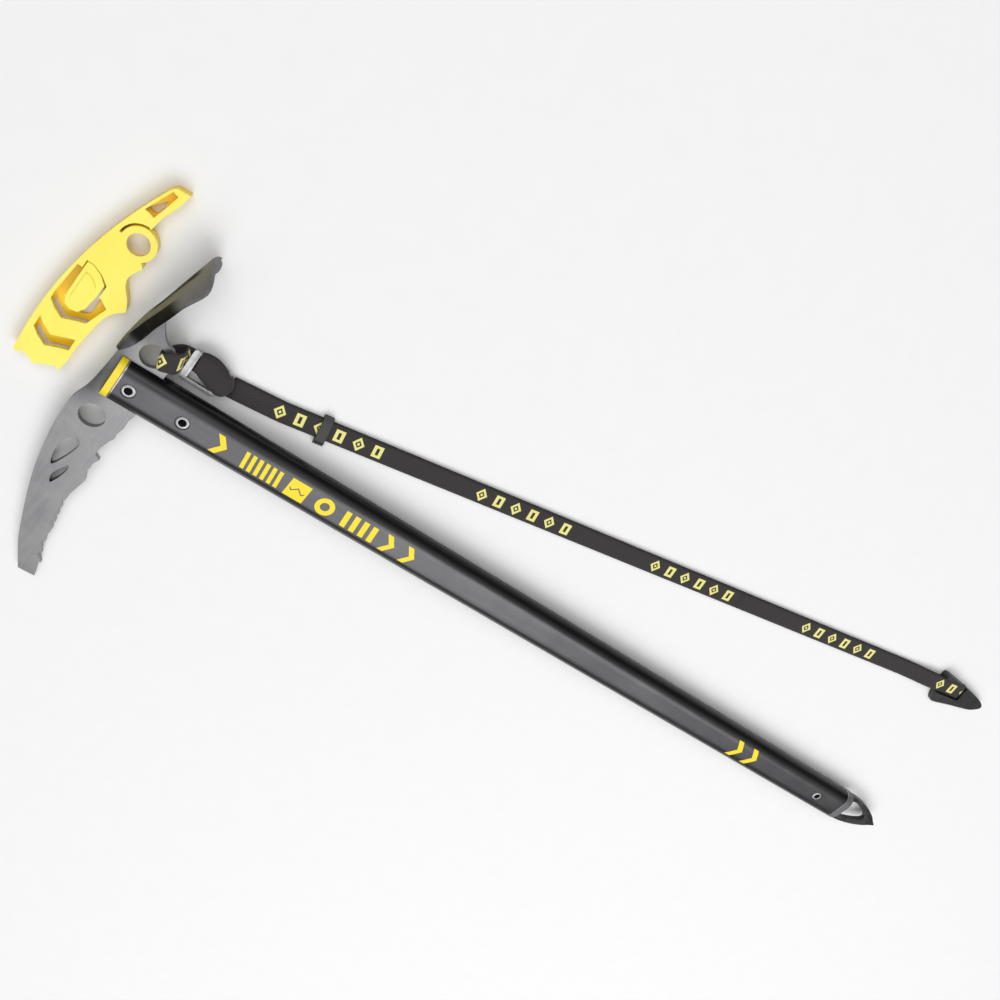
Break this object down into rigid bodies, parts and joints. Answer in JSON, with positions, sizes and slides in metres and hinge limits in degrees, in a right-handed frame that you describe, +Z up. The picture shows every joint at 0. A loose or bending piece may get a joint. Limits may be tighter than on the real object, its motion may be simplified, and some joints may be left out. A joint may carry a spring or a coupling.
{
  "type": "ice axe",
  "caption": "Straight mountaineering ice axe with pick, adze, oval shaft and spike, a webbing wrist leash with slider, and a slip-on pick guard.",
  "frame": {"origin": "on the floor, under the middle of the box of the axe and its guard, as they lie at rest", "axes": "+X up the shaft to the head, +Y towards the pick, +Z up from the floor"},
  "size_m": [0.7873, 0.3122, 0.0393],
  "materials": {
    "forged_steel": "satin grey forged and ground steel",
    "bright_steel": "bright plated steel",
    "dark_steel": "dark blackened steel",
    "black_anodised": "satin black anodised alloy",
    "yellow_plastic": "yellow moulded plastic",
    "guard_plastic": "pale yellow moulded plastic",
    "collar_plastic": "matte grey moulded plastic",
    "webbing": "woven black webbing with a pale yellow woven motif",
    "moulded_rubber": "matte black moulded rubber",
    "thread": "black bonded thread"
  },
  "bodies": {
    "axe": {"head": "forged_steel", "shaft": "black_anodised", "head_plug_front": "yellow_plastic", "head_plug_rear": "yellow_plastic", "head_rivet_upper": "bright_steel", "head_rivet_lower": "bright_steel", "spike_rivet": "bright_steel", "spike": "dark_steel", "spike_collar": "collar_plastic", "leash_anchor_loop": "webbing"},
    "leash": {"leash_buckle": "bright_steel", "leash_fold": "webbing", "leash_strap_lower": "webbing", "leash_strap_upper": "webbing", "leash_bar_tack": "thread", "leash_end_cap": "moulded_rubber"},
    "keeper": {"leash_keeper": "moulded_rubber"},
    "guard": {"pick_guard": "guard_plastic"},
    "latch": {"guard_latch": "guard_plastic"}
  },
  "joints": [
    {"name": "leash_swing", "type": "hinge", "parent": "axe", "child": "leash", "pos_m": [0.32862, -0.04844, 0], "axis": [0, 0, 1], "range_deg": [-3, 45], "deforming": ["leash_anchor_loop"]},
    {"name": "keeper_slide", "type": "slide", "parent": "leash", "child": "keeper", "axis": [-0.9821, -0.1885, 0], "range_m": [-0.012, 0.315]},
    {"name": "guard_lift", "type": "slide", "parent": "axe", "child": "guard", "axis": [0, 0, 1], "range_m": [0, 0.05]},
    {"name": "latch_flex", "type": "hinge", "parent": "guard", "child": "latch", "pos_m": [0.37695, -0.073, 0.0079], "axis": [1, 0, 0], "range_deg": [-2, 6], "stiffness_Nm_per_rad": 0.2}
  ]
}
